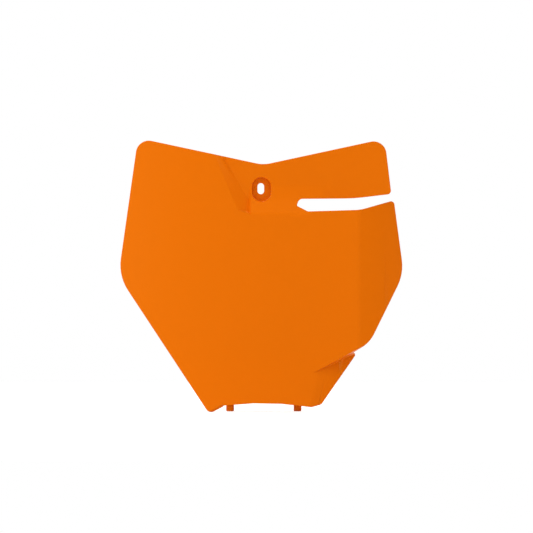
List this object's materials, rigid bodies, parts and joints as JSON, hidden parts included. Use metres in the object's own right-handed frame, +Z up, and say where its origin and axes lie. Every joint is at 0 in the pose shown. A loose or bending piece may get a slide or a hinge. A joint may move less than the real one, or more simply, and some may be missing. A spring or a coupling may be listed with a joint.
{
  "type": "racing number board",
  "caption": "Moulded motocross front number board with a swept-back skin, a screw pocket, a side slot for the brake hose and plug-in lugs at its foot.",
  "frame": {"origin": "middle of the screw slot, on the seat that the screw head clamps", "axes": "+Z up as the board is worn, +X to the right as seen from the front, and the front faces -Y"},
  "size_m": [0.2824, 0.0528, 0.2714],
  "materials": {
    "orange_plastic": "bright orange injection-moulded polypropylene with a fine satin sheen, same colour all through"
  },
  "bodies": {
    "root": {"number_board": "orange_plastic"}
  },
  "joints": []
}
